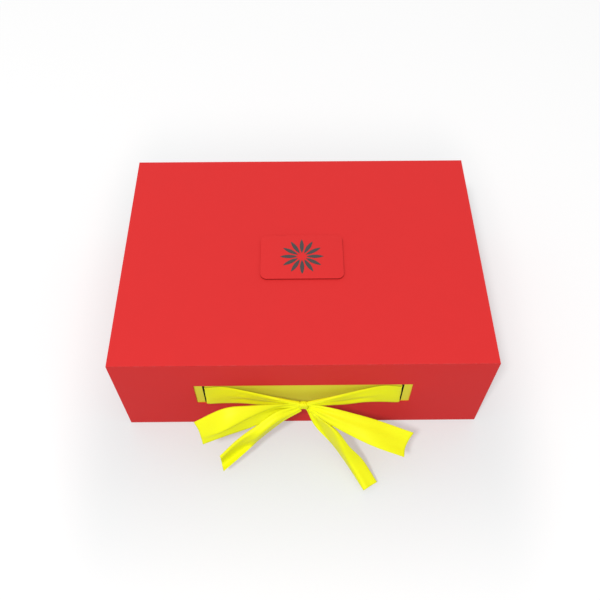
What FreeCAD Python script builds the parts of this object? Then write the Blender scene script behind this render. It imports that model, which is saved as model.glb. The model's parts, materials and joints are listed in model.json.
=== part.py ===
"""Collapsible gift box: wrapped board panels joined by mitred folds, with a ribbon tied in front.

X runs to the right, Y away from the front flap and Z up, in millimetres. The origin is the middle of
the base's underside. Each panel is a board core in a red wrap, with a yellow lining on its inner face.
"""
import FreeCAD, Part
import math
import os

V = FreeCAD.Vector

# Outside of the closed box
WIDTH = 360.0
DEPTH = 260.0
HEIGHT = 120.0

# Make-up of a panel
BOARD = 2.0
PAPER = 0.25
WALL = BOARD + 2 * PAPER
LINING_MARGIN = 2.0

# Clearances: between mitred fold faces, and between walls that slide past each other
FOLD_GAP = 0.1
SLIDE_GAP = 0.3
SEAT_GAP = 0.2

# The crease band above the rear wall lets the lid lie on the folded stack
STACK_ROOM = 0.3
BAND_THICKNESS = 0.5

# Front flap
FLOOR_GAP = 0.5
WINDOW_WIDTH = 211.0
WINDOW_HEIGHT = 36.5
WINDOW_BOTTOM = 44.5
WINDOW_BOARD = 0.75
SLIT_SPAN = 192.0
SLIT_WIDTH = 2.0
SLIT_SPARE = 3.0
SLIT_MIDDLE = 62.0
BINDING = 0.3
HINGE_STRIP = 1.2
HINGE_STRIP_START = 2.1
HINGE_STRIP_WIDTH = 1.3

# Magnets and corner tapes
MAGNET_RADIUS = 5.0
MAGNET_SPACING = 270.0
MAGNET_HEIGHT = 62.0
FRONT_MAGNET = 1.0
FLAP_MAGNET = 0.7
POCKET_GAP = 0.1
TAPE = 0.12
TAPE_MARGIN = 8.0
REAR_TAPE_WIDTH = 2.0

# Badge on the lid
BADGE_WIDTH = 83.0
BADGE_DEPTH = 55.0
BADGE_THICKNESS = 1.6
BADGE_CORNER = 6.5
BADGE_EDGE = 0.3
BADGE_MIDDLE_Y = -6.0
ADHESIVE = 0.2
ADHESIVE_MARGIN = 4.0
ROSETTE_RADIUS = 22.0
ROSETTE_HUB = 4.5
ROSETTE_PETALS = 12
PETAL_WIDTH = 4.2
FOIL = 0.15

# Ribbon
RIBBON_WIDTH = 30.0
RIBBON = 0.3
RIBBON_FOLD = 2.0
KNOT_WIDTH = 10.0
KNOT_HEIGHT = 9.0
KNOT_DEPTH = 7.0
KNOT_ROUND = 2.5
KNOT_FORWARD = 11.5
KNOT_LOWER = 1.6

# Places worked out from the sizes above
SLIT_HEIGHT = RIBBON_WIDTH + SLIT_SPARE
SLIT_INNER = (SLIT_SPAN - SLIT_WIDTH) / 2
HALF_W = WIDTH / 2
HALF_D = DEPTH / 2
LID_UNDER = HEIGHT - WALL
FLAP_INNER = -HALF_D + WALL
REAR_INNER = HALF_D - WALL
FRONT_OUTER = FLAP_INNER + SLIDE_GAP
FRONT_INNER = FRONT_OUTER + WALL
FRONT_BOTTOM = WALL + SEAT_GAP
BAND = FRONT_BOTTOM + WALL + STACK_ROOM + WALL
BAND_BOTTOM = HEIGHT - BAND
FRONT_TOP = FRONT_BOTTOM + BAND_BOTTOM + STACK_ROOM
WALL_TOP = LID_UNDER - SLIDE_GAP
BACKING = WALL - 3 * PAPER - WINDOW_BOARD
PANEL_DEPTH = PAPER + WINDOW_BOARD
BACKING_DEPTH = PANEL_DEPTH + PAPER
KNOT_FRONT = -HALF_D - KNOT_FORWARD
KNOT_HEIGHT_MIDDLE = SLIT_MIDDLE - KNOT_LOWER


class Panel:
    """A flat panel seen from its outer face, whose edges may be mitred at 45 degrees towards the inside."""

    def __init__(self, origin, across, up, inward, span, rise, mitres):
        self.origin = origin
        self.across = across
        self.up = up
        self.inward = inward
        self.span = span
        self.rise = rise
        self.mitres = mitres

    def point(self, s, t, depth):
        """Place of a point at s across, t up and a depth below the outer face."""
        return self.origin + self.across * s + self.up * t + self.inward * depth

    def outline(self, inset, depth):
        """Rectangle of the panel at a depth, drawn in from its edges by an inset."""
        slant = [(depth + (FOLD_GAP / 2 + inset) * math.sqrt(2)) if m else inset for m in self.mitres]
        s0, s1 = self.span[0] + slant[0], self.span[1] - slant[1]
        t0, t1 = self.rise[0] + slant[2], self.rise[1] - slant[3]
        corners = [(s0, t0), (s1, t0), (s1, t1), (s0, t1), (s0, t0)]
        return Part.makePolygon([self.point(s, t, depth) for s, t in corners])

    def layer(self, inset, near, far):
        """Solid between two depths."""
        return Part.makeLoft([self.outline(inset, near), self.outline(inset, far)], True, True)

    def board(self):
        """Board core."""
        return self.layer(PAPER, PAPER, WALL - PAPER)

    def lining(self):
        """Lining sheet on the inner face."""
        return self.layer(LINING_MARGIN, WALL - PAPER, WALL)

    def wrap(self):
        """Wrap round the outer face and the edges, turned in as far as the lining."""
        return self.layer(0, 0, WALL).cut(self.board()).cut(self.lining())


X, Y, Z = V(1, 0, 0), V(0, 1, 0), V(0, 0, 1)
WHOLE_WIDTH = (-HALF_W, HALF_W)
BASE = Panel(V(0, 0, 0), X, Y, Z, WHOLE_WIDTH, (FRONT_OUTER, HALF_D), (1, 1, 0, 1))
REAR = Panel(V(0, HALF_D, 0), X, Z, -Y, WHOLE_WIDTH, (0, BAND_BOTTOM), (0, 0, 1, 1))
SIDE_RUN = (FRONT_OUTER, REAR_INNER - SLIDE_GAP)
LEFT = Panel(V(-HALF_W, 0, 0), Y, Z, X, SIDE_RUN, (0, WALL_TOP), (1, 0, 1, 0))
RIGHT = Panel(V(HALF_W, 0, 0), Y, Z, -X, SIDE_RUN, (0, WALL_TOP), (1, 0, 1, 0))
FRONT_HALF = HALF_W - SLIDE_GAP * math.sqrt(2)
FRONT = Panel(V(0, FRONT_OUTER, 0), X, Z, Y, (-FRONT_HALF, FRONT_HALF), (FRONT_BOTTOM, FRONT_TOP), (1, 1, 0, 0))
LID = Panel(V(0, 0, HEIGHT), X, Y, -Z, WHOLE_WIDTH, (-HALF_D, HALF_D), (0, 0, 1, 1))
BAND_PANEL = Panel(V(0, HALF_D, 0), X, Z, -Y, WHOLE_WIDTH, (BAND_BOTTOM, HEIGHT), (0, 0, 1, 1))
FLAP = Panel(V(0, -HALF_D, 0), X, Z, Y, WHOLE_WIDTH, (FLOOR_GAP, HEIGHT), (0, 0, 0, 1))


def block(x0, x1, y0, y1, z0, z1):
    """Box between two opposite corners."""
    return Part.makeBox(x1 - x0, y1 - y0, z1 - z0, V(x0, y0, z0))


def joined(solids):
    """Several separate solids as one shape."""
    return Part.makeCompound(solids)


def both_sides(shape):
    """A shape and its mirror image across the middle of the box."""
    return joined([shape, shape.mirror(V(0, 0, 0), X)])


def plain_panel(name, panel):
    """The three layers of a panel."""
    return {name + "_board": panel.board(), name + "_wrap": panel.wrap(), name + "_lining": panel.lining()}


def magnet_discs(radius, y0, y1):
    """A pair of discs in the front of the box, their flat faces across Y."""
    return both_sides(Part.makeCylinder(radius, y1 - y0, V(MAGNET_SPACING / 2, y0, MAGNET_HEIGHT), Y))


def front_wall():
    """Front wall, with magnets let into the outer side of its board and tape on its mitred ends."""
    start = FRONT_OUTER + PAPER
    pocket = magnet_discs(MAGNET_RADIUS + POCKET_GAP, start, start + FRONT_MAGNET + POCKET_GAP)
    parts = plain_panel("front", FRONT)
    parts["front_board"] = parts["front_board"].cut(pocket)
    parts["front_magnets"] = magnet_discs(MAGNET_RADIUS, start, start + FRONT_MAGNET)
    edge = FRONT_HALF - FOLD_GAP / math.sqrt(2)
    lift = TAPE * math.sqrt(2)
    corners = [(edge, FRONT_OUTER), (edge + lift, FRONT_OUTER), (edge + lift - WALL, FRONT_INNER),
               (edge - WALL, FRONT_INNER), (edge, FRONT_OUTER)]
    outline = Part.makePolygon([V(x, y, FRONT_BOTTOM + TAPE_MARGIN) for x, y in corners])
    rise = FRONT_TOP - FRONT_BOTTOM - 2 * TAPE_MARGIN
    parts["front_corner_tapes"] = both_sides(Part.Face(outline).extrude(Z * rise))
    return parts


def rear_wall():
    """Rear wall, with tape where the side walls' ends meet it."""
    parts = plain_panel("rear", REAR)
    tape = block(HALF_W - REAR_TAPE_WIDTH, HALF_W, REAR_INNER - TAPE, REAR_INNER,
                 WALL + TAPE_MARGIN, BAND_BOTTOM - WALL - TAPE_MARGIN)
    parts["rear_corner_tapes"] = both_sides(tape)
    return parts


def rounded_plate(width, depth, corner, y, z0, z1):
    """Flat plate with rounded corners, centred on X."""
    plate = block(-width / 2, width / 2, y - depth / 2, y + depth / 2, z0, z1)
    uprights = [e for e in plate.Edges if abs(e.tangentAt(e.FirstParameter).z) > 0.9]
    return plate.makeFillet(corner, uprights)


def petal(angle, z):
    """One slim petal of the rosette: two arcs that meet in points."""
    inner, outer = V(ROSETTE_HUB, 0, 0), V(ROSETTE_RADIUS, 0, 0)
    middle = (inner + outer) / 2
    bulge = V(0, PETAL_WIDTH / 2, 0)
    edges = [Part.Arc(inner, middle + bulge, outer).toShape(), Part.Arc(outer, middle - bulge, inner).toShape()]
    shape = Part.Face(Part.Wire(edges)).extrude(V(0, 0, FOIL))
    shape.rotate(V(0, 0, 0), Z, angle)
    shape.translate(V(0, BADGE_MIDDLE_Y, z))
    return shape


def lid():
    """Lid with its badge: adhesive sheet, rounded plate and a foil rosette."""
    parts = plain_panel("lid", LID)
    plate_bottom = HEIGHT + ADHESIVE
    plate_top = plate_bottom + BADGE_THICKNESS
    margin = 2 * ADHESIVE_MARGIN
    parts["badge_adhesive"] = rounded_plate(BADGE_WIDTH - margin, BADGE_DEPTH - margin,
                                            BADGE_CORNER - ADHESIVE_MARGIN, BADGE_MIDDLE_Y, HEIGHT, plate_bottom)
    plate = rounded_plate(BADGE_WIDTH, BADGE_DEPTH, BADGE_CORNER, BADGE_MIDDLE_Y, plate_bottom, plate_top)
    rim = [e for e in plate.Edges if all(abs(v.Z - plate_top) < PAPER for v in e.Vertexes)]
    parts["badge_plate"] = plate.makeChamfer(BADGE_EDGE, rim)
    turn = 360 / ROSETTE_PETALS
    parts["badge_rosette"] = joined([petal(i * turn, plate_top) for i in range(ROSETTE_PETALS)])
    return parts


def mitre_strip(start, length, near, far):
    """Strip that lies in the mitre between lid and flap, from a distance below the corner inwards."""
    along = V(0, 1, -1) / math.sqrt(2)
    away = V(0, -1, -1) / math.sqrt(2)
    corner = V(-HALF_W, -HALF_D, HEIGHT)
    steps = [(start, near), (start + length, near), (start + length, far), (start, far), (start, near)]
    outline = Part.makePolygon([corner + along * a + away * b for a, b in steps])
    return Part.Face(outline).extrude(X * WIDTH)


def hinge_strip():
    """Soft plastic hinge strip in the mitre between the lid and the flap."""
    return mitre_strip(HINGE_STRIP_START, HINGE_STRIP_WIDTH, FOLD_GAP, FOLD_GAP + HINGE_STRIP)


def slit_pair(grow, y0, y1):
    """The two upright slits of the backing, made larger all round by an amount."""
    middle, half = SLIT_SPAN / 2, SLIT_WIDTH / 2 + grow
    rise = SLIT_HEIGHT / 2 + grow
    return both_sides(block(middle - half, middle + half, y0, y1, SLIT_MIDDLE - rise, SLIT_MIDDLE + rise))


def flap():
    """Front flap: wrap and windowed board over a yellow panel on a backing board with two slits."""
    outer = -HALF_D
    half = WINDOW_WIDTH / 2
    window = block(-half, half, outer, outer + PANEL_DEPTH, WINDOW_BOTTOM, WINDOW_BOTTOM + WINDOW_HEIGHT)
    groove = mitre_strip(HINGE_STRIP_START - FOLD_GAP, WALL * 2, 0, 2 * FOLD_GAP + HINGE_STRIP)
    slits = slit_pair(BINDING, outer + PANEL_DEPTH, outer + WALL - PAPER)
    lining_face = outer + WALL - PAPER
    channel_end = SLIT_INNER + RIBBON
    channel = block(-channel_end, channel_end, lining_face - RIBBON, lining_face,
                    SLIT_MIDDLE - SLIT_HEIGHT / 2, SLIT_MIDDLE + SLIT_HEIGHT / 2)
    pockets = magnet_discs(MAGNET_RADIUS + POCKET_GAP, lining_face - FLAP_MAGNET - POCKET_GAP, lining_face)
    windowed = FLAP.layer(PAPER, PAPER, PANEL_DEPTH).cut(window).cut(groove)
    panel = FLAP.layer(PAPER, PANEL_DEPTH, BACKING_DEPTH).cut(slits).cut(groove)
    backing = FLAP.layer(PAPER, BACKING_DEPTH, BACKING_DEPTH + BACKING).cut(slits).cut(groove)
    lining = FLAP.lining().cut(groove)
    core = FLAP.layer(PAPER, PAPER, WALL - PAPER)
    wrap = FLAP.layer(0, 0, WALL).cut(core).cut(FLAP.lining()).cut(window).cut(groove)
    bindings = slits.cut(slit_pair(0, outer, lining_face - BINDING)).cut(channel)
    return {
        "flap_wrap": wrap,
        "flap_window_board": windowed,
        "flap_window_panel": panel,
        "flap_backing_board": backing.cut(channel).cut(pockets),
        "flap_lining": lining,
        "flap_magnets": magnet_discs(MAGNET_RADIUS, lining_face - FLAP_MAGNET, lining_face),
        "slit_bindings": bindings,
    }


def ribbon_band():
    """The stretch of ribbon hidden behind the backing, with its two ends turned forwards through the slits."""
    back = -HALF_D + WALL - PAPER
    front = -HALF_D + PANEL_DEPTH - RIBBON
    low, high = SLIT_MIDDLE - RIBBON_WIDTH / 2, SLIT_MIDDLE + RIBBON_WIDTH / 2
    legs = both_sides(block(SLIT_INNER, SLIT_INNER + RIBBON, front, back, low, high))
    return block(-SLIT_INNER, SLIT_INNER, back - RIBBON, back, low, high).fuse(legs.Solids).removeSplitter()


def ribbon_strip(upper, lower, flat_start=False):
    """A stretch of ribbon between two edges, each a list of places, with a soft fold along its middle."""
    upper, lower = [V(*p) for p in upper], [V(*p) for p in lower]
    middles = [(a + b) / 2 for a, b in zip(upper, lower)]
    last = len(upper) - 1
    sections = []
    for i, (a, b) in enumerate(zip(upper, lower)):
        along = middles[min(i + 1, last)] - middles[max(i - 1, 0)]
        normal = along.cross(a - b).normalize()
        if normal.y > 0:
            normal = -normal
        fold = 0 if flat_start and i == 0 else RIBBON_FOLD * (a - b).Length / RIBBON_WIDTH
        face = [a, middles[i] + normal * fold, b]
        back = [p - normal * RIBBON for p in reversed(face)]
        sections.append(Part.makePolygon(face + back + [a]))
    return Part.makeLoft(sections, True, True)


def knot():
    """The gathered knot where the ribbon's two lengths are tied."""
    shape = block(-KNOT_WIDTH / 2, KNOT_WIDTH / 2, KNOT_FRONT - KNOT_DEPTH / 2, KNOT_FRONT + KNOT_DEPTH / 2,
                  KNOT_HEIGHT_MIDDLE - KNOT_HEIGHT / 2, KNOT_HEIGHT_MIDDLE + KNOT_HEIGHT / 2)
    return shape.makeFillet(KNOT_ROUND, shape.Edges)


# The ribbon from a slit to the knot, as shares: how far out between knot and slit, how far forwards between
# the flap's outer face and the knot, and how far above the slit's middle in half widths of the ribbon
LEAD_UPPER = [(0.823, 0.30, 1.0), (0.635, 0.52, 1.0), (0.375, 0.70, 0.67)]
LEAD_LOWER = [(0.854, 0.13, -1.0), (0.646, 0.30, -0.73), (0.385, 0.61, -0.47)]
LEAD_END_RISE = (4.0, -2.0)

# The four loose ends: across, forwards from the flap's outer face, and above the table, for the upper and the
# lower edge. The first place is counted from the knot, and the heights are for a knot this high
TAIL_KNOT_HEIGHT = 60.4
TAILS = {
    "tail_left_upper": ([(0, -0.5, 2), (-25.5, 14.5, 70), (-51.5, 19, 77), (-76, 22, 77), (-105.5, 26, 57)],
                        [(0, 0.5, -3), (-25.5, 19, 57), (-48, 30.5, 55), (-76, 39.5, 53), (-98, 40.5, 37)]),
    "tail_right_upper": ([(0, -0.5, 1), (24, 15.5, 65), (50, 20.5, 60), (75, 25.5, 53.5), (107, 34, 45)],
                         [(1, 0.5, -5), (23.5, 27, 54), (46, 39, 50), (70, 49.5, 46), (96.5, 56, 38)]),
    "tail_left_lower": ([(0, -0.5, -2), (-26, 18, 61), (-47.5, 29.5, 52), (-64.5, 39.5, 44.5), (-81.5, 51, 34)],
                        [(0, 0.5, -7), (-21, 21, 44), (-40.5, 31, 31), (-56, 43.5, 26), (-79, 59.5, 15)]),
    "tail_right_lower": ([(2, 0.5, -3), (11, 21.5, 37), (28.5, 34.5, 20), (42.5, 50, 8), (61.5, 73, 2)],
                         [(5, -0.5, -7), (30.5, 31, 50), (45, 43.5, 34), (59, 50.5, 17), (72.5, 68.5, 5)]),
}


def lead_edges(side):
    """Upper and lower edge of the ribbon from a slit to the knot; side is -1 on the left and 1 on the right."""
    half = RIBBON_WIDTH / 2
    start = PANEL_DEPTH - RIBBON
    edges = []
    for sign, shares, end in ((1, LEAD_UPPER, LEAD_END_RISE[0]), (-1, LEAD_LOWER, LEAD_END_RISE[1])):
        edge = [(side * SLIT_INNER, -HALF_D + start, SLIT_MIDDLE + sign * half)]
        edge += [(side * out * SLIT_SPAN / 2, -HALF_D - ahead * KNOT_FORWARD, SLIT_MIDDLE + rise * half)
                 for out, ahead, rise in shares]
        edges.append(edge + [(0, KNOT_FRONT, KNOT_HEIGHT_MIDDLE + end)])
    return edges


def tail_edges(name):
    """Upper and lower edge of a loose end."""
    lift = KNOT_HEIGHT_MIDDLE / TAIL_KNOT_HEIGHT
    edges = []
    for first, *rest in TAILS[name]:
        start = (first[0], KNOT_FRONT - first[1], KNOT_HEIGHT_MIDDLE + first[2])
        edges.append([start] + [(x, -HALF_D - ahead, z * lift) for x, ahead, z in rest])
    return edges


def ribbon():
    """Every stretch of the ribbon; each later one is cut back where it would lie in an earlier one."""
    parts = {"ribbon_band": ribbon_band(), "ribbon_knot": knot()}
    taken = [parts["ribbon_knot"]]
    stretches = {"ribbon_left_lead": ribbon_strip(*lead_edges(-1), flat_start=True),
                 "ribbon_right_lead": ribbon_strip(*lead_edges(1), flat_start=True)}
    stretches.update({name: ribbon_strip(*tail_edges(name)) for name in TAILS})
    for name, strip in stretches.items():
        for other in taken:
            strip = strip.cut(other)
        largest = max(strip.Solids, key=lambda s: s.Volume)
        parts[name] = largest
        taken.append(largest)
    return parts


def model():
    """All nodes by name."""
    parts = {}
    parts.update(plain_panel("base", BASE))
    parts.update(plain_panel("left", LEFT))
    parts.update(plain_panel("right", RIGHT))
    parts.update(front_wall())
    parts.update(rear_wall())
    parts["lid_hinge_band"] = BAND_PANEL.layer(0, 0, BAND_THICKNESS)
    parts.update(lid())
    parts["flap_hinge_strip"] = hinge_strip()
    parts.update(flap())
    parts.update(ribbon())
    return parts


os.makedirs("parts", exist_ok=True)
for node, shape in model().items():
    shape.exportStep("parts/" + node + ".step")
    print(node, "solids", len(shape.Solids), "valid", shape.isValid(), "volume", round(shape.Volume, 1))
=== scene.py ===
"""Collapsible gift box: finishes, ribbon and studio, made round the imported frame.

Metres throughout, in the box's own frame: X to the right, Y away from the front flap, Z up.
"""
import json
import math

import bmesh
import bpy
from bpy.props import FloatProperty, FloatVectorProperty, IntProperty, PointerProperty
from mathutils import Euler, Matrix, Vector


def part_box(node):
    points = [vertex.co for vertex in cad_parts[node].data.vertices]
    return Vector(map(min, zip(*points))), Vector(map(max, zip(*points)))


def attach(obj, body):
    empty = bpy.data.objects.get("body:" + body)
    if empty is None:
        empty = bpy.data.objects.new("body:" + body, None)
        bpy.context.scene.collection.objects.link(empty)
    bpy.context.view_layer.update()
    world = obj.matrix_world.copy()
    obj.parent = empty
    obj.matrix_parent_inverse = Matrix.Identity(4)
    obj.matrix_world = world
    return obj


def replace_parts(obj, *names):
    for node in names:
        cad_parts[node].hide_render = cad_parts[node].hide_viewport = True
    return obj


bl_info = {
    "name": "Collapsible Gift Box",
    "version": (1, 0, 0),
    "blender": (4, 5, 0),
    "location": "View3D > Sidebar > Gift Box",
    "description": "Finishes a folding gift box and ties its ribbon",
    "category": "Object",
}

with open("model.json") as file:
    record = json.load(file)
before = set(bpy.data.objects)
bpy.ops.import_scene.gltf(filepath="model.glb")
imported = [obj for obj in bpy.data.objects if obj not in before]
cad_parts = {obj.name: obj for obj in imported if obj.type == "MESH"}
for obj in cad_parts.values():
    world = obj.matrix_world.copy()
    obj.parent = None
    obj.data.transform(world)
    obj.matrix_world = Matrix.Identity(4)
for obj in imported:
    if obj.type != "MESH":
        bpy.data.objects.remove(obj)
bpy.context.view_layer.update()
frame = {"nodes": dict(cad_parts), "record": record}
NODES = frame["nodes"]
MM = 0.001

# Outside of the closed box, read from the frame
HALF_W, HALF_D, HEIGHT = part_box("lid_wrap")[1]
FLAP_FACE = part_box("flap_wrap")[0].y
PANEL_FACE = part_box("flap_window_panel")[0].y
BADGE_LOW, BADGE_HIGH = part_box("badge_plate")

# Colours of the finishes that stay the same on any box
GREY = (0.40, 0.38, 0.35)
# Near-black binding cloth; where it shows in the ribbon's slits its black is painted shade for the slits' depth
BINDING_BLACK_AND_SLIT_SHADE = (0.0045, 0.004, 0.004)
DARK_FOIL = (0.045, 0.040, 0.040)
GLUE = (0.55, 0.53, 0.48)
PLATED = (0.55, 0.55, 0.57)
SOFT_RED = (0.35, 0.02, 0.02)

# The plate on the lid, with painted shade that darkens its sides below the rim
BADGE_CORNER = 0.0065
BADGE_RIM = 0.0001
RIM_PAINTED_SHADE_HEIGHT = 0.0002
RIM_PAINTED_SHADE = 0.42

# The window's opening, and the wrap paper that is turned in round it
WINDOW_HALF = 0.1055
WINDOW_BOTTOM, WINDOW_TOP = 0.0445, 0.081
WINDOW_CORNER = 0.0009
TURN_IN_THICKNESS = 0.00018
TURN_IN_GAP = 0.00002

# The ribbon's gathers, and how far a cut end curves in as a share of its length
PLEAT_DEPTH = 0.0019
FLUTTER = 0.0004
END_DIP = 0.008

# The knot: its size beside the solid's, how far it sits above the solid's middle, and its folds
KNOT_SIZE = 0.94
KNOT_LIFT = 0.0014
KNOT_WAIST = 0.12
KNOT_FOLD, KNOT_CREASE = 0.045, 0.03
KNOT_CLOTH_X, KNOT_CLOTH_Z = 0.006, 0.008

# The floor: its colour in the object's light, and its colour and glow to the camera, near the box and far from it.
# Near the box these are darker, as painted shade, and tinted cyan, which paints out the red light the box throws on
# the floor. At the box's sides the painted shade fades out in less room than in front, by the side's share
FLOOR_HALF = 6.0
FLOOR_DROP = 0.0001
FLOOR_LIT = (0.47, 0.47, 0.47, 1)
FLOOR_NEAR_PAINTED_SHADE, FLOOR_FAR = (0.47, 0.50, 0.505, 1), (0.62, 0.62, 0.62, 1)
GLOW_NEAR_PAINTED_SHADE, GLOW_FAR = (0.365, 0.365, 0.365, 1), (0.40, 0.40, 0.40, 1)
NO_GLOW = (0.0, 0.0, 0.0, 1)
PAINTED_SHADE_REACH = 0.25
SIDE_SHARE = 2.5

# The lamp overhead, and the camera, which is fitted to the six corners of the box that the photograph shows
LAMP_PLACE, LAMP_AIM = Vector((-0.9, -1.7, 3.1)), Vector((0, 0, 0.05))
CAMERA_PLACE = (-0.0064078, -0.4409455, 0.6799790)
CAMERA_TURN = (34.3706, -0.0155, -0.5670)
SENSOR = 36.0

# The side of a sheet that is turned to somebody who stands in front of the box
FRONT_SIDE = Vector((0.0, -0.5, 0.85))

# Ribbon stretches in mm, from the knot outwards. One row for each station, and in it four or five places across the
# ribbon: its upper edge, the folds between the edges, and its lower edge
LEAD_ROWS = [
    ((3.3, -140.5, 67.4), (3.3, -142.0, 67.4), (3.3, -142.4, 65.2), (3.3, -141.0, 58.8)),
    ((21.5, -138.4, 70.8), (21.5, -140.6, 69.7), (21.7, -139.4, 62.0), (21.8, -140.2, 58.4)),
    ((39.1, -136.2, 74.8), (39.8, -137.6, 69.5), (40.8, -136.4, 59.8), (41.5, -137.2, 53.9)),
    ((56.8, -133.0, 76.8), (57.6, -134.6, 70.3), (58.5, -135.2, 62.5), (59.2, -136.4, 56.2)),
    ((76.8, -130.6, 79.2), (77.0, -131.8, 70.2), (77.2, -132.8, 61.0), (77.4, -133.6, 51.4)),
    ((93.0, -130.4, 76.8), (93.3, -130.9, 67.2), (93.6, -131.3, 57.2), (93.9, -131.6, 47.0)),
    ((94.9, -129.3, 76.4), (94.9, -129.3, 66.6), (94.9, -129.3, 56.6), (94.9, -129.3, 46.4)),
]
TAIL_ROWS = {
    "left_upper": [
        ((-3, -139.5, 61), (-3, -140, 58.5), (-2.5, -140, 56.5), (-2.5, -140.5, 54.5), (-2.5, -140.5, 53)),
        ((-25.5, -144.5, 70), (-27, -145.5, 68.5), (-27.5, -146.5, 66.5), (-27.5, -145.5, 62.5), (-25.5, -148, 55)),
        ((-51.5, -149, 77), (-50.5, -153.5, 74.5), (-49.5, -157, 71), (-49.5, -156, 66.5), (-48, -160, 54)),
        ((-76, -152, 77), (-76, -161, 72.5), (-75.5, -168.5, 66), (-75.5, -168, 61.5), (-76, -169.5, 53)),
        ((-105.5, -156, 57), (-102, -162.5, 51.5), (-100, -167.5, 46), (-99, -169, 41.5), (-98, -170.5, 37)),
    ],
    "left_lower": [
        ((-2.5, -140, 58), (-2.5, -140.5, 55), (-2.5, -141, 52), (-2, -141, 49)),
        ((-26, -148, 61), (-24.5, -150.5, 59), (-22.5, -153.5, 56), (-21, -151, 44)),
        ((-47.5, -159.5, 52), (-45, -162.5, 50.5), (-42, -165, 46), (-40.5, -161, 31)),
        ((-64.5, -169.5, 44.5), (-62.5, -171.5, 42.5), (-60, -170, 24), (-56, -173.5, 26)),
        ((-81.5, -181, 34), (-81, -183.5, 31.5), (-81.5, -183, 13), (-79, -189.5, 15)),
    ],
    "right_upper": [
        ((4, -139.5, 60), (4, -140, 57.5), (4.5, -140.5, 55), (4.5, -140.5, 52)),
        ((24, -145.5, 65), (24.5, -149.5, 62), (24, -154.5, 59.5), (23.5, -157, 54)),
        ((50, -150.5, 60), (48.5, -157.5, 57), (47, -164, 54.5), (46, -169, 50)),
        ((75, -155.5, 53.5), (74, -164, 51), (72, -172.5, 49), (70, -179.5, 46)),
        ((107, -164, 45), (103, -170, 40.5), (99, -177.5, 39), (96.5, -186, 38)),
    ],
    "right_lower": [
        ((2, -141, 57), (3, -141, 54.5), (4, -140.5, 52.5), (5, -140, 50)),
        ((11, -151.5, 37), (15, -151.5, 36.5), (26, -161, 51), (30.5, -161, 50)),
        ((28.5, -164.5, 20), (30, -166, 21), (36.5, -174, 36), (45, -173.5, 34)),
        ((42.5, -180, 8), (43, -181.5, 10), (46.5, -185, 19), (59, -180.5, 17)),
        ((61.5, -203, 1.5), (59, -207, 4), (62, -206.5, 7), (72.5, -198.5, 5)),
    ],
}


class Link:
    """A node's output that Python's own operators work on."""

    def __init__(self, nodes, socket):
        self.nodes = nodes
        self.socket = socket

    def math(self, operation, *others):
        """One Math node on this value, or on this one and others."""
        return self.nodes.math(operation, self, *others)

    def __add__(self, other):
        return self.math("ADD", other)

    def __radd__(self, other):
        return self.nodes.math("ADD", other, self)

    def __sub__(self, other):
        return self.math("SUBTRACT", other)

    def __rsub__(self, other):
        return self.nodes.math("SUBTRACT", other, self)

    def __mul__(self, other):
        return self.math("MULTIPLY", other)

    def __rmul__(self, other):
        return self.nodes.math("MULTIPLY", other, self)


class Nodes:
    """A node tree being built."""

    def __init__(self, tree):
        self.tree = tree

    def node(self, kind, settings=None, values=None, out=0):
        """Any node: its settings are set first, then its sockets, each from a number, a colour or a link."""
        made = self.tree.nodes.new(kind)
        for key, value in (settings or {}).items():
            setattr(made, key, value)
        for key, value in (values or {}).items():
            if isinstance(value, Link):
                self.join(value, made.inputs[key])
            else:
                made.inputs[key].default_value = value
        return Link(self, made.outputs[out])

    def math(self, operation, *values):
        """One Math node on links and numbers."""
        return self.node("ShaderNodeMath", {"operation": operation}, dict(enumerate(values)))

    def join(self, link, socket):
        """Joins a link to a socket."""
        self.tree.links.new(link.socket, socket)

    def seen(self):
        """1 where the camera looks, also through a mirror or a clear surface, and 0 for the light on the object."""
        rays = self.node("ShaderNodeLightPath").socket.node
        camera, glossy, clear = [Link(self, rays.outputs[name]) for name in
                                 ("Is Camera Ray", "Is Glossy Ray", "Is Transmission Ray")]
        return camera.math("MAXIMUM", glossy.math("MAXIMUM", clear))


class Finish(Nodes):
    """A finish being mixed: one surface shader and the nodes that feed it."""

    def __init__(self, name, **plain):
        if name in bpy.data.materials:  # the plain one that came with the frame
            bpy.data.materials.remove(bpy.data.materials[name])
        self.material = bpy.data.materials.new(name)
        self.material.use_nodes = True
        super().__init__(self.material.node_tree)
        self.shader = self.tree.nodes["Principled BSDF"]
        for key, value in plain.items():
            self.shader.inputs[key.replace("_", " ")].default_value = value

    def feed(self, name, link):
        """Joins a link to one of the shader's sockets."""
        self.join(link, self.shader.inputs[name])

    def place(self):
        """The place on the object, which is the place in the box's frame."""
        return self.node("ShaderNodeTexCoord", out="Object")

    def stretched(self, place, scale):
        """A place with each axis scaled by its own amount."""
        return self.node("ShaderNodeMapping", None, {"Vector": place, "Scale": scale})

    def noise(self, place, scale, detail=2.0, rough=0.5):
        """Soft noise from 0 to 1."""
        values = {"Vector": place, "Scale": scale, "Detail": detail, "Roughness": rough}
        return self.node("ShaderNodeTexNoise", None, values)

    def ramp(self, value, low, high):
        """0 below low, 1 above high and a soft step between them."""
        values = {"Value": value, "From Min": low, "From Max": high}
        return self.node("ShaderNodeMapRange", {"interpolation_type": "SMOOTHSTEP"}, values)

    def blend(self, first, second, share):
        """A colour between two others."""
        values = {0: share, 6: first, 7: second}
        return self.node("ShaderNodeMix", {"data_type": "RGBA"}, values, 2)

    def parts(self, place):
        """X, Y and Z of a place."""
        split = self.node("ShaderNodeSeparateXYZ", None, {0: place}).socket.node
        return [Link(self, output) for output in split.outputs]

    def relief(self, height, distance, strength=1.0):
        """Bump from a height between 0 and 1."""
        values = {"Height": height, "Distance": distance, "Strength": strength}
        self.feed("Normal", self.node("ShaderNodeBump", None, values))


def tint(colour, amount):
    """A colour made lighter or darker, with an alpha."""
    return (*[min(1.0, channel * amount) for channel in colour], 1.0)


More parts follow.
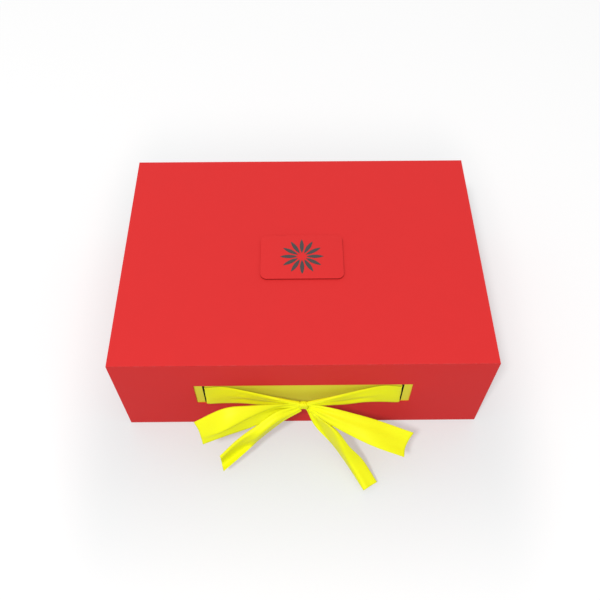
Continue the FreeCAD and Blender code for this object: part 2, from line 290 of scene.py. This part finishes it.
def rubbed(finish, place):
    """Broken patches, 1 where the paper is rubbed, along the box's outer edges."""
    x, y, z = finish.parts(place)
    from_side = HALF_W - x.math("ABSOLUTE")
    from_end = HALF_D - y.math("ABSOLUTE")
    from_top = z.math("MINIMUM", HEIGHT - z)
    nearer = from_side.math("MINIMUM", from_end)
    further = from_side.math("MAXIMUM", from_end)
    # The second smallest of the three distances: near 0 only on an edge, where two faces meet
    edge = nearer.math("MAXIMUM", further.math("MINIMUM", from_top))
    patches = finish.ramp(finish.noise(place, 420.0, detail=4.0, rough=0.7), 0.35, 0.7)
    return (1.0 - finish.ramp(edge, 0.0001, 0.0011)) * patches


def paper(name, colour, roughness, grain, worn=0.0, rim=None):
    """Matt coated paper: faint mottling, fine fibres, rubbed edges where it wraps round the box, and painted shade
    that darkens it below a rim height."""
    finish = Finish(name, Specular_IOR_Level=0.2)
    place = finish.place()
    mottle = finish.noise(place, 55.0, detail=3.0)
    fibres = finish.noise(place, 2600.0, detail=4.0, rough=0.65)
    felt = finish.noise(finish.stretched(place, (900.0, 260.0, 260.0)), 1.0, detail=3.0)
    body = finish.blend(tint(colour, 0.965), tint(colour, 1.03), mottle * 0.6 + fibres * 0.4)
    rough = fibres * 0.10 + mottle * 0.05 + (roughness - 0.075)
    if worn:
        rub = rubbed(finish, place)
        bare = tint([0.5 + 0.5 * channel for channel in colour], 0.9)
        body = finish.blend(body, bare, rub * worn)
        rough = rough + rub * 0.12
    if rim:
        height = finish.parts(place)[2]
        # Painted shade: below the rim height the colour is darkened
        body = finish.blend(tint(colour, RIM_PAINTED_SHADE), body, finish.ramp(height, rim - RIM_PAINTED_SHADE_HEIGHT, rim))
    finish.feed("Base Color", body)
    finish.feed("Roughness", rough)
    finish.relief(fibres * 0.7 + felt * 0.3, 0.00004 * grain, strength=0.6)


def satin(name, ribbon):
    """Satin ribbon: long floats along the ribbon, fine cross threads, and a firm woven edge."""
    finish = Finish(name, Specular_IOR_Level=0.12)
    across, along, _ = finish.parts(finish.node("ShaderNodeUVMap", {"uv_map": "ribbon"}))
    flat = finish.node("ShaderNodeCombineXYZ", None, {0: across * 5200.0, 1: along * 420.0})
    floats = finish.noise(flat, 1.0, detail=3.0, rough=0.6)
    threads = (along * (2 * math.pi / ribbon.thread)).math("SINE")
    slow = finish.noise(finish.place(), 90.0)
    inset = across.math("MINIMUM", ribbon.width - across)
    edge = 1.0 - finish.ramp(inset, 0.0006, 0.0012)
    shade = floats * 0.55 + slow * 0.45 - edge * 0.25
    finish.feed("Base Color", finish.blend(tint(ribbon.colour, 0.93), tint(ribbon.colour, 1.03), shade))
    finish.feed("Roughness", floats * 0.12 + edge * 0.12 + 0.36)
    finish.relief(floats * 0.5 + threads * 0.18 + edge * 0.9, 0.00006, strength=0.7)


def cloth(name, colour, pitch):
    """Plain woven cloth, its threads crossing at a pitch in metres."""
    finish = Finish(name, Specular_IOR_Level=0.2)
    place = finish.place()
    x, y, z = finish.parts(place)
    turn = 2 * math.pi / pitch
    weave = (z * turn).math("SINE") * ((x + y) * turn).math("SINE") * 0.5 + 0.5
    lint = finish.noise(place, 1800.0, detail=3.0)
    finish.feed("Base Color", finish.blend(tint(colour, 0.7), tint(colour, 1.35), weave * 0.6 + lint * 0.4))
    finish.feed("Roughness", lint * 0.15 + 0.78)
    finish.relief(weave * 0.7 + lint * 0.3, 0.00008)


def greyboard(name, colour):
    """Grey chipboard: light and dark flecks of fibre."""
    finish = Finish(name, Specular_IOR_Level=0.2)
    place = finish.place()
    flecks = finish.ramp(finish.noise(place, 1500.0, detail=4.0, rough=0.7), 0.35, 0.68)
    specks = finish.ramp(finish.noise(place, 700.0), 0.64, 0.70)
    body = finish.blend(tint(colour, 0.82), tint(colour, 1.12), flecks)
    finish.feed("Base Color", finish.blend(body, tint(colour, 0.45), specks * 0.7))
    finish.feed("Roughness", flecks * 0.1 + 0.82)
    finish.relief(flecks, 0.00008, strength=0.7)


def foil(name, colour):
    """Dark hot foil print, slightly uneven where it met the paper's fibres."""
    finish = Finish(name, Specular_IOR_Level=0.5)
    place = finish.place()
    fibres = finish.noise(place, 2400.0, detail=4.0, rough=0.65)
    cloud = finish.noise(place, 240.0)
    finish.feed("Base Color", finish.blend(tint(colour, 0.8), tint(colour, 1.25), cloud * 0.5 + fibres * 0.5))
    finish.feed("Roughness", fibres * 0.16 + 0.36)
    finish.relief(fibres, 0.00002, strength=0.5)


def smooth_film(name, colour, roughness, metal=0.0):
    """Even materials hidden in the folds: adhesive film, plated steel and soft plastic, with fine scratches."""
    finish = Finish(name, Metallic=metal)
    place = finish.place()
    scratch = finish.noise(finish.stretched(place, (300.0, 2600.0, 2600.0)), 1.0, detail=3.0, rough=0.6)
    cloud = finish.noise(place, 300.0)
    finish.feed("Base Color", finish.blend(tint(colour, 0.88), tint(colour, 1.1), cloud))
    finish.feed("Roughness", scratch * 0.14 + roughness)
    finish.relief(scratch, 0.00001, strength=0.5)


def floor_finish():
    """Pale floor with painted shade round the box, tinted cyan there to paint out the red light from the box. To
    the camera the painted shade fades to white away from the box, and the light on the box doesn't see it.
    """
    finish = Finish("floor", Specular_IOR_Level=0.0, Roughness=0.9, Emission_Strength=1.0)
    seen = finish.seen()
    x, y, _ = finish.parts(finish.place())
    beside = (x.math("ABSOLUTE") - HALF_W).math("MAXIMUM", 0.0)
    before = (y.math("ABSOLUTE") - HALF_D).math("MAXIMUM", 0.0)
    away = (beside * beside * SIDE_SHARE ** 2 + before * before).math("SQRT")
    # Painted shade: 0 at the box, where the floor's colour and glow to the camera are darkest, 1 where it has faded
    # out
    painted_shade_fade = finish.ramp(away, 0.0, PAINTED_SHADE_REACH)
    finish.feed("Base Color", finish.blend(FLOOR_LIT, finish.blend(FLOOR_NEAR_PAINTED_SHADE, FLOOR_FAR, painted_shade_fade), seen))
    finish.feed("Emission Color", finish.blend(NO_GLOW, finish.blend(GLOW_NEAR_PAINTED_SHADE, GLOW_FAR, painted_shade_fade), seen))
    return finish.material


def between(points, share):
    """Place at a share of the way along a smooth line through the points."""
    steps = len(points) - 1
    i = min(int(share * steps), steps - 1)
    f = share * steps - i
    a, b = points[i], points[i + 1]
    before = points[i - 1] if i else a * 2 - b
    after = points[i + 2] if i + 2 <= steps else b * 2 - a
    return 0.5 * (a * 2 + (b - before) * f + (before * 2 - a * 5 + b * 4 - after) * f * f
                  + (a * 3 - before - b * 3 + after) * f * f * f)


class Stretch:
    """A stretch of ribbon along its two edges and the folds between them, with the knot's pleats."""

    def __init__(self, rows, mirror=1):
        turn = Vector((mirror, 1, 1)) * MM
        self.rails = [[Vector(row[i]) * turn for row in rows] for i in reversed(range(len(rows[0])))]

    def across(self, share):
        """Places across the ribbon at a share of its length, from the lower edge up."""
        return [between(rail, share) for rail in self.rails]

    def length(self, steps=40):
        """Length of the middle line."""
        middle = [sum(self.across(t / steps), Vector()) / len(self.rails) for t in range(steps + 1)]
        return sum((b - a).length for a, b in zip(middle, middle[1:]))

    def outwards(self, share, points, step=0.02):
        """The sheet's normal at a share of its length, on the side that is seen from the front."""
        ahead, behind = min(1.0, share + step), max(0.0, share - step)
        along = sum(self.across(ahead), Vector()) - sum(self.across(behind), Vector())
        out = along.cross(points[-1] - points[0]).normalized()
        return -out if out.dot(FRONT_SIDE) < 0 else out

    def place(self, share, across, width):
        """A place on the sheet: along from the knot, and across from the lower edge, both as shares."""
        points = self.across(share)
        spans = [(b - a).length for a, b in zip(points, points[1:])]
        total = sum(spans)
        left, fold = across * total, 0
        while fold < len(spans) - 1 and left > spans[fold]:
            left -= spans[fold]
            fold += 1
        spot = between(points, (fold + left / spans[fold]) / len(spans))
        slack = max(0.0, 1 - total / width)
        pleats = PLEAT_DEPTH * slack ** 1.4 * math.sin(5 * math.pi * across) * (1 - 0.3 * across)
        flutter = FLUTTER * math.sin(9.0 * share + 5.0 * across) * share
        return spot + self.outwards(share, points) * (pleats + flutter)


def knot_place(point, middle, half):
    """A sphere's point moved out to the knot: a blunt lump with a waist, and folds that slant round it."""
    x, y, z = point
    blunt = (abs(x) ** 3 + abs(y) ** 3 + abs(z) ** 3) ** (-1 / 3)
    wrap = math.atan2(z, -y)
    slant = x + 0.25 * math.sin(wrap)
    pleat = KNOT_FOLD * math.sin(11 * slant) + KNOT_CREASE * math.sin(19 * slant + 2 * wrap)
    waist = 1 - KNOT_WAIST * (1 - abs(x)) * math.cos(wrap * 2)
    grow = blunt * KNOT_SIZE
    return middle + Vector((x * half.x * grow, y * half.y * grow * (waist + pleat),
                            z * half.z * grow * (waist + pleat) + KNOT_LIFT))


def edges_along(made, axis):
    """The edges of a bmesh that run along an axis: 0, 1 or 2."""
    return [edge for edge in made.edges
            if abs((edge.verts[0].co - edge.verts[1].co).normalized()[axis]) > 0.9]


def round_edges(made, edges, radius, segments):
    """Rounds some edges of a bmesh."""
    bmesh.ops.bevel(made, geom=edges, offset=radius, offset_type="OFFSET", segments=segments, profile=0.5,
                    affect="EDGES", material=-1)


def new_object(name, made, material):
    """A smooth object from a bmesh, at the origin."""
    mesh = bpy.data.meshes.new(name)
    made.to_mesh(mesh)
    made.free()
    mesh.materials.append(material)
    mesh.shade_smooth()
    thing = bpy.data.objects.new(name, mesh)
    bpy.context.scene.collection.objects.link(thing)
    return thing


def new_piece(name, made, body, slot):
    """A piece from a bmesh, riding on a body and finished from a slot."""
    piece = new_object(name, made, bpy.data.materials[slot])
    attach(piece, body)
    return piece


def ribbon_sheet(name, stretch, ribbon, end_dip=0.0):
    """A stretch of ribbon as a thin sheet, with its real width and length in its UV map."""
    made = bmesh.new()
    bmesh.ops.create_grid(made, x_segments=ribbon.across, y_segments=ribbon.along, size=0.5)
    uv = made.loops.layers.uv.new("ribbon")
    length = stretch.length()
    for face in made.faces:
        for loop in face.loops:
            across, share = loop.vert.co.x + 0.5, loop.vert.co.y + 0.5
            loop[uv].uv = (across * ribbon.width, share * length)
    for vert in made.verts:
        across, share = vert.co.x + 0.5, vert.co.y + 0.5
        dip = end_dip * share ** 6 * (1 - (2 * across - 1) ** 2)
        vert.co = stretch.place(share - dip, across, ribbon.width)
    piece = new_piece(name, made, "flap", "ribbon")
    thicken = piece.modifiers.new("Thickness", "SOLIDIFY")
    thicken.thickness, thicken.offset = ribbon.thickness, 0.0
    return piece


class GiftBoxPaper(bpy.types.PropertyGroup):
    """Papers and boards of the box."""

    red: FloatVectorProperty(name="Wrap", description="Colour of the wrap paper", subtype="COLOR",
                             default=(0.735, 0.027, 0.027))
    yellow: FloatVectorProperty(name="Lining", description="Colour of the lining paper", subtype="COLOR",
                                default=(0.80, 0.74, 0.035))
    window: FloatVectorProperty(name="Window panel", description="Colour of the panel behind the window",
                                subtype="COLOR", default=(0.845, 0.785, 0.05))
    grain: FloatProperty(name="Grain", description="Strength of the papers' fibre relief", default=0.5,
                         min=0.0, max=3.0)
    wear: FloatProperty(name="Wear", description="How much the folded edges are rubbed", default=0.08,
                        min=0.0, max=1.0, subtype="FACTOR")


class GiftBoxRibbon(bpy.types.PropertyGroup):
    """The ribbon."""

    colour: FloatVectorProperty(name="Colour", description="Colour of the satin", subtype="COLOR",
                                default=(0.95, 0.985, 0.012))
    width: FloatProperty(name="Width", description="Width of the ribbon", default=0.030, unit="LENGTH")
    thickness: FloatProperty(name="Thickness", description="Thickness of the ribbon", default=0.0003,
                             unit="LENGTH")
    thread: FloatProperty(name="Thread", description="Pitch of the cross threads", default=0.00045,
                          unit="LENGTH")
    across: IntProperty(name="Steps across", description="Faces across the ribbon", default=28, min=6)
    along: IntProperty(name="Steps along", description="Faces along each stretch", default=90, min=12)


class GiftBoxStudio(bpy.types.PropertyGroup):
    """Light, floor and camera."""

    sky: FloatProperty(name="Sky", description="Strength of the even light all round", default=0.65, min=0.0)
    lamp: FloatProperty(name="Lamp", description="Power of the lamp overhead, in watts", default=56.5, min=0.0,
                        unit="POWER")
    lamp_side: FloatProperty(name="Lamp side", description="Side of the square lamp", default=0.35, min=0.0,
                             unit="LENGTH")
    lens: FloatProperty(name="Lens", description="Focal length on a 36 mm sensor, in mm", default=42.072)


class GIFTBOX_OT_finishes(bpy.types.Operator):
    """Mixes the finishes and gives each panel, board and fitting its own"""

    bl_idname = "giftbox.finishes"
    bl_label = "Finish the Panels"

    def execute(self, context):
        wrap = context.scene.gift_box_paper
        paper("red_wrap", wrap.red, 0.62, wrap.grain, worn=wrap.wear)
        paper("yellow_lining", wrap.yellow, 0.72, wrap.grain * 1.6)
        paper("yellow_panel", wrap.window, 0.60, wrap.grain)
        # The plate's sides below its rim get painted shade
        paper("badge", wrap.red, 0.58, wrap.grain * 0.8, rim=BADGE_HIGH.z - BADGE_RIM)
        satin("ribbon", context.scene.gift_box_ribbon)
        greyboard("greyboard", GREY)
        # The binding's near-black is painted shade where it shows in the ribbon's slits
        cloth("black_binding", BINDING_BLACK_AND_SLIT_SHADE, pitch=0.0005)
        foil("foil", DARK_FOIL)
        smooth_film("adhesive", GLUE, 0.35)
        smooth_film("magnet", PLATED, 0.30, metal=1.0)
        smooth_film("hinge_plastic", SOFT_RED, 0.45)
        for part in frame["record"]["subparts"]:
            node = NODES[part["node"]]
            node.data.materials.clear()
            node.data.materials.append(bpy.data.materials[part["material_slot"]])
        return {"FINISHED"}


class GIFTBOX_OT_leads(bpy.types.Operator):
    """Leads the ribbon from each slit to the knot"""

    bl_idname = "giftbox.leads"
    bl_label = "Lead the Ribbon Out"

    def execute(self, context):
        ribbon = context.scene.gift_box_ribbon
        for name, mirror in (("left", -1), ("right", 1)):
            stretch = Stretch(LEAD_ROWS, mirror)
            piece = ribbon_sheet(f"lead_{name}", stretch, ribbon)
            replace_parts(piece, f"ribbon_{name}_lead")
            stretch.length()
        return {"FINISHED"}


class GIFTBOX_OT_tails(bpy.types.Operator):
    """Lets the ribbon's four loose ends hang from the knot"""

    bl_idname = "giftbox.tails"
    bl_label = "Hang the Loose Ends"

    def execute(self, context):
        ribbon = context.scene.gift_box_ribbon
        for name, rows in TAIL_ROWS.items():
            stretch = Stretch(rows)
            piece = ribbon_sheet(f"loose_end_{name}", stretch, ribbon, END_DIP)
            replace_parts(piece, f"tail_{name}")
            stretch.length()
        return {"FINISHED"}


class GIFTBOX_OT_knot(bpy.types.Operator):
    """Ties the small gathered knot"""

    bl_idname = "giftbox.knot"
    bl_label = "Tie the Knot"

    def execute(self, context):
        low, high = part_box("ribbon_knot")
        middle, half = (low + high) / 2, (high - low) / 2
        ribbon_middle = context.scene.gift_box_ribbon.width / 2
        made = bmesh.new()
        bmesh.ops.create_uvsphere(made, u_segments=72, v_segments=48, radius=1.0)
        uv = made.loops.layers.uv.new("ribbon")
        for face in made.faces:
            for loop in face.loops:
                loop[uv].uv = (ribbon_middle + loop.vert.co.x * KNOT_CLOTH_X, loop.vert.co.z * KNOT_CLOTH_Z)
        for vert in made.verts:
            vert.co = knot_place(vert.co, middle, half)
        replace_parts(new_piece("knot", made, "flap", "ribbon"), "ribbon_knot")
        return {"FINISHED"}


class GIFTBOX_OT_badge(bpy.types.Operator):
    """Makes the raised plate on the lid, with the paper rounded over its edge"""

    bl_idname = "giftbox.badge"
    bl_label = "Make the Badge"

    def execute(self, context):
        made = bmesh.new()
        bmesh.ops.create_cube(made, size=1.0)
        bmesh.ops.scale(made, verts=made.verts, vec=BADGE_HIGH - BADGE_LOW)
        bmesh.ops.translate(made, verts=made.verts, vec=(BADGE_LOW + BADGE_HIGH) / 2)
        round_edges(made, edges_along(made, 2), BADGE_CORNER, 14)
        rim = [edge for edge in made.edges if all(abs(v.co.z - BADGE_HIGH.z) < 1e-5 for v in edge.verts)
               and len([f for f in edge.link_faces if abs(f.normal.z) < 0.5]) == 1]
        round_edges(made, rim, BADGE_RIM, 5)
        bmesh.ops.recalc_face_normals(made, faces=made.faces)
        piece = new_piece("plate", made, "lid", "badge")
        piece.data.set_sharp_from_angle(angle=math.radians(50))
        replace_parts(piece, "badge_plate")
        return {"FINISHED"}


class GIFTBOX_OT_window(bpy.types.Operator):
    """Turns the wrap paper in round the window's edge"""

    bl_idname = "giftbox.window"
    bl_label = "Turn In the Window's Edge"

    def execute(self, context):
        made = bmesh.new()
        ring = [made.verts.new((x, FLAP_FACE + TURN_IN_GAP, z))
                for x, z in ((-WINDOW_HALF, WINDOW_BOTTOM), (WINDOW_HALF, WINDOW_BOTTOM),
                             (WINDOW_HALF, WINDOW_TOP), (-WINDOW_HALF, WINDOW_TOP))]
        edges = [made.edges.new((a, b)) for a, b in zip(ring, ring[1:] + ring[:1])]
        pulled = bmesh.ops.extrude_edge_only(made, edges=edges)["geom"]
        deep = [item for item in pulled if isinstance(item, bmesh.types.BMVert)]
        bmesh.ops.translate(made, verts=deep, vec=(0, PANEL_FACE - FLAP_FACE - 2 * TURN_IN_GAP, 0))
        round_edges(made, edges_along(made, 1), WINDOW_CORNER, 5)
        bmesh.ops.recalc_face_normals(made, faces=made.faces)
        middle = Vector((0, 0, (WINDOW_BOTTOM + WINDOW_TOP) / 2))
        if sum(face.normal.dot(middle - face.calc_center_median()) for face in made.faces) < 0:
            bmesh.ops.reverse_faces(made, faces=made.faces)
        piece = new_piece("window_turn_in", made, "flap", "red_wrap")
        thicken = piece.modifiers.new("Paper", "SOLIDIFY")
        thicken.thickness, thicken.offset = TURN_IN_THICKNESS, 1.0
        return {"FINISHED"}


class GIFTBOX_OT_studio(bpy.types.Operator):
    """Sets up the floor, the light and the camera"""

    bl_idname = "giftbox.studio"
    bl_label = "Set Up the Studio"

    def execute(self, context):
        scene = context.scene
        settings = scene.gift_box_studio
        made = bmesh.new()
        bmesh.ops.create_grid(made, x_segments=1, y_segments=1, size=FLOOR_HALF)
        floor = new_object("floor", made, floor_finish())
        floor.location.z = -FLOOR_DROP

        scene.world = bpy.data.worlds.new("studio")
        scene.world.use_nodes = True
        sky = Nodes(scene.world.node_tree)
        background = sky.tree.nodes["Background"].inputs
        background["Color"].default_value = (1, 1, 1, 1)
        level = {"Value": sky.seen(), "To Min": settings.sky, "To Max": 1.0}
        sky.join(sky.node("ShaderNodeMapRange", None, level), background["Strength"])

        lamp = bpy.data.lights.new("overhead", "AREA")
        lamp.shape, lamp.size, lamp.energy = "SQUARE", settings.lamp_side, settings.lamp
        overhead = bpy.data.objects.new("overhead", lamp)
        overhead.location = LAMP_PLACE
        overhead.rotation_euler = (LAMP_AIM - LAMP_PLACE).to_track_quat("-Z", "Y").to_euler()
        scene.collection.objects.link(overhead)

        lens = bpy.data.cameras.new("camera")
        lens.lens, lens.sensor_width, lens.clip_start, lens.clip_end = settings.lens, SENSOR, 0.01, 50.0
        scene.camera = bpy.data.objects.new("camera", lens)
        scene.camera.location = CAMERA_PLACE
        scene.camera.rotation_euler = Euler([math.radians(angle) for angle in CAMERA_TURN], "XYZ")
        scene.collection.objects.link(scene.camera)
        scene.view_settings.view_transform = "Standard"
        return {"FINISHED"}


class GIFTBOX_PT_panel(bpy.types.Panel):
    """Sizes, colours and steps of the gift box"""

    bl_label = "Gift Box"
    bl_idname = "GIFTBOX_PT_panel"
    bl_space_type = "VIEW_3D"
    bl_region_type = "UI"
    bl_category = "Gift Box"

    def draw(self, context):
        layout = self.layout
        for name, group in GROUPS.items():
            settings = getattr(context.scene, name)
            for prop in group.__annotations__:
                layout.prop(settings, prop)
        for operator in OPERATORS:
            layout.operator(operator.bl_idname)


GROUPS = {"gift_box_paper": GiftBoxPaper, "gift_box_ribbon": GiftBoxRibbon, "gift_box_studio": GiftBoxStudio}
OPERATORS = (GIFTBOX_OT_studio, GIFTBOX_OT_finishes, GIFTBOX_OT_badge, GIFTBOX_OT_window, GIFTBOX_OT_knot,
             GIFTBOX_OT_leads, GIFTBOX_OT_tails)


def register():
    """Registers the settings, the steps and the panel."""
    for name, group in GROUPS.items():
        bpy.utils.register_class(group)
        setattr(bpy.types.Scene, name, PointerProperty(type=group))
    for kind in (*OPERATORS, GIFTBOX_PT_panel):
        bpy.utils.register_class(kind)


def unregister():
    """Takes them out again."""
    for kind in (GIFTBOX_PT_panel, *reversed(OPERATORS)):
        bpy.utils.unregister_class(kind)
    for name, group in GROUPS.items():
        delattr(bpy.types.Scene, name)
        bpy.utils.unregister_class(group)


def main():
    """Makes everything in order."""
    register()
    for operator in OPERATORS:
        group, name = operator.bl_idname.split(".")
        getattr(getattr(bpy.ops, group), name)()


if __name__ == "__main__":
    main()
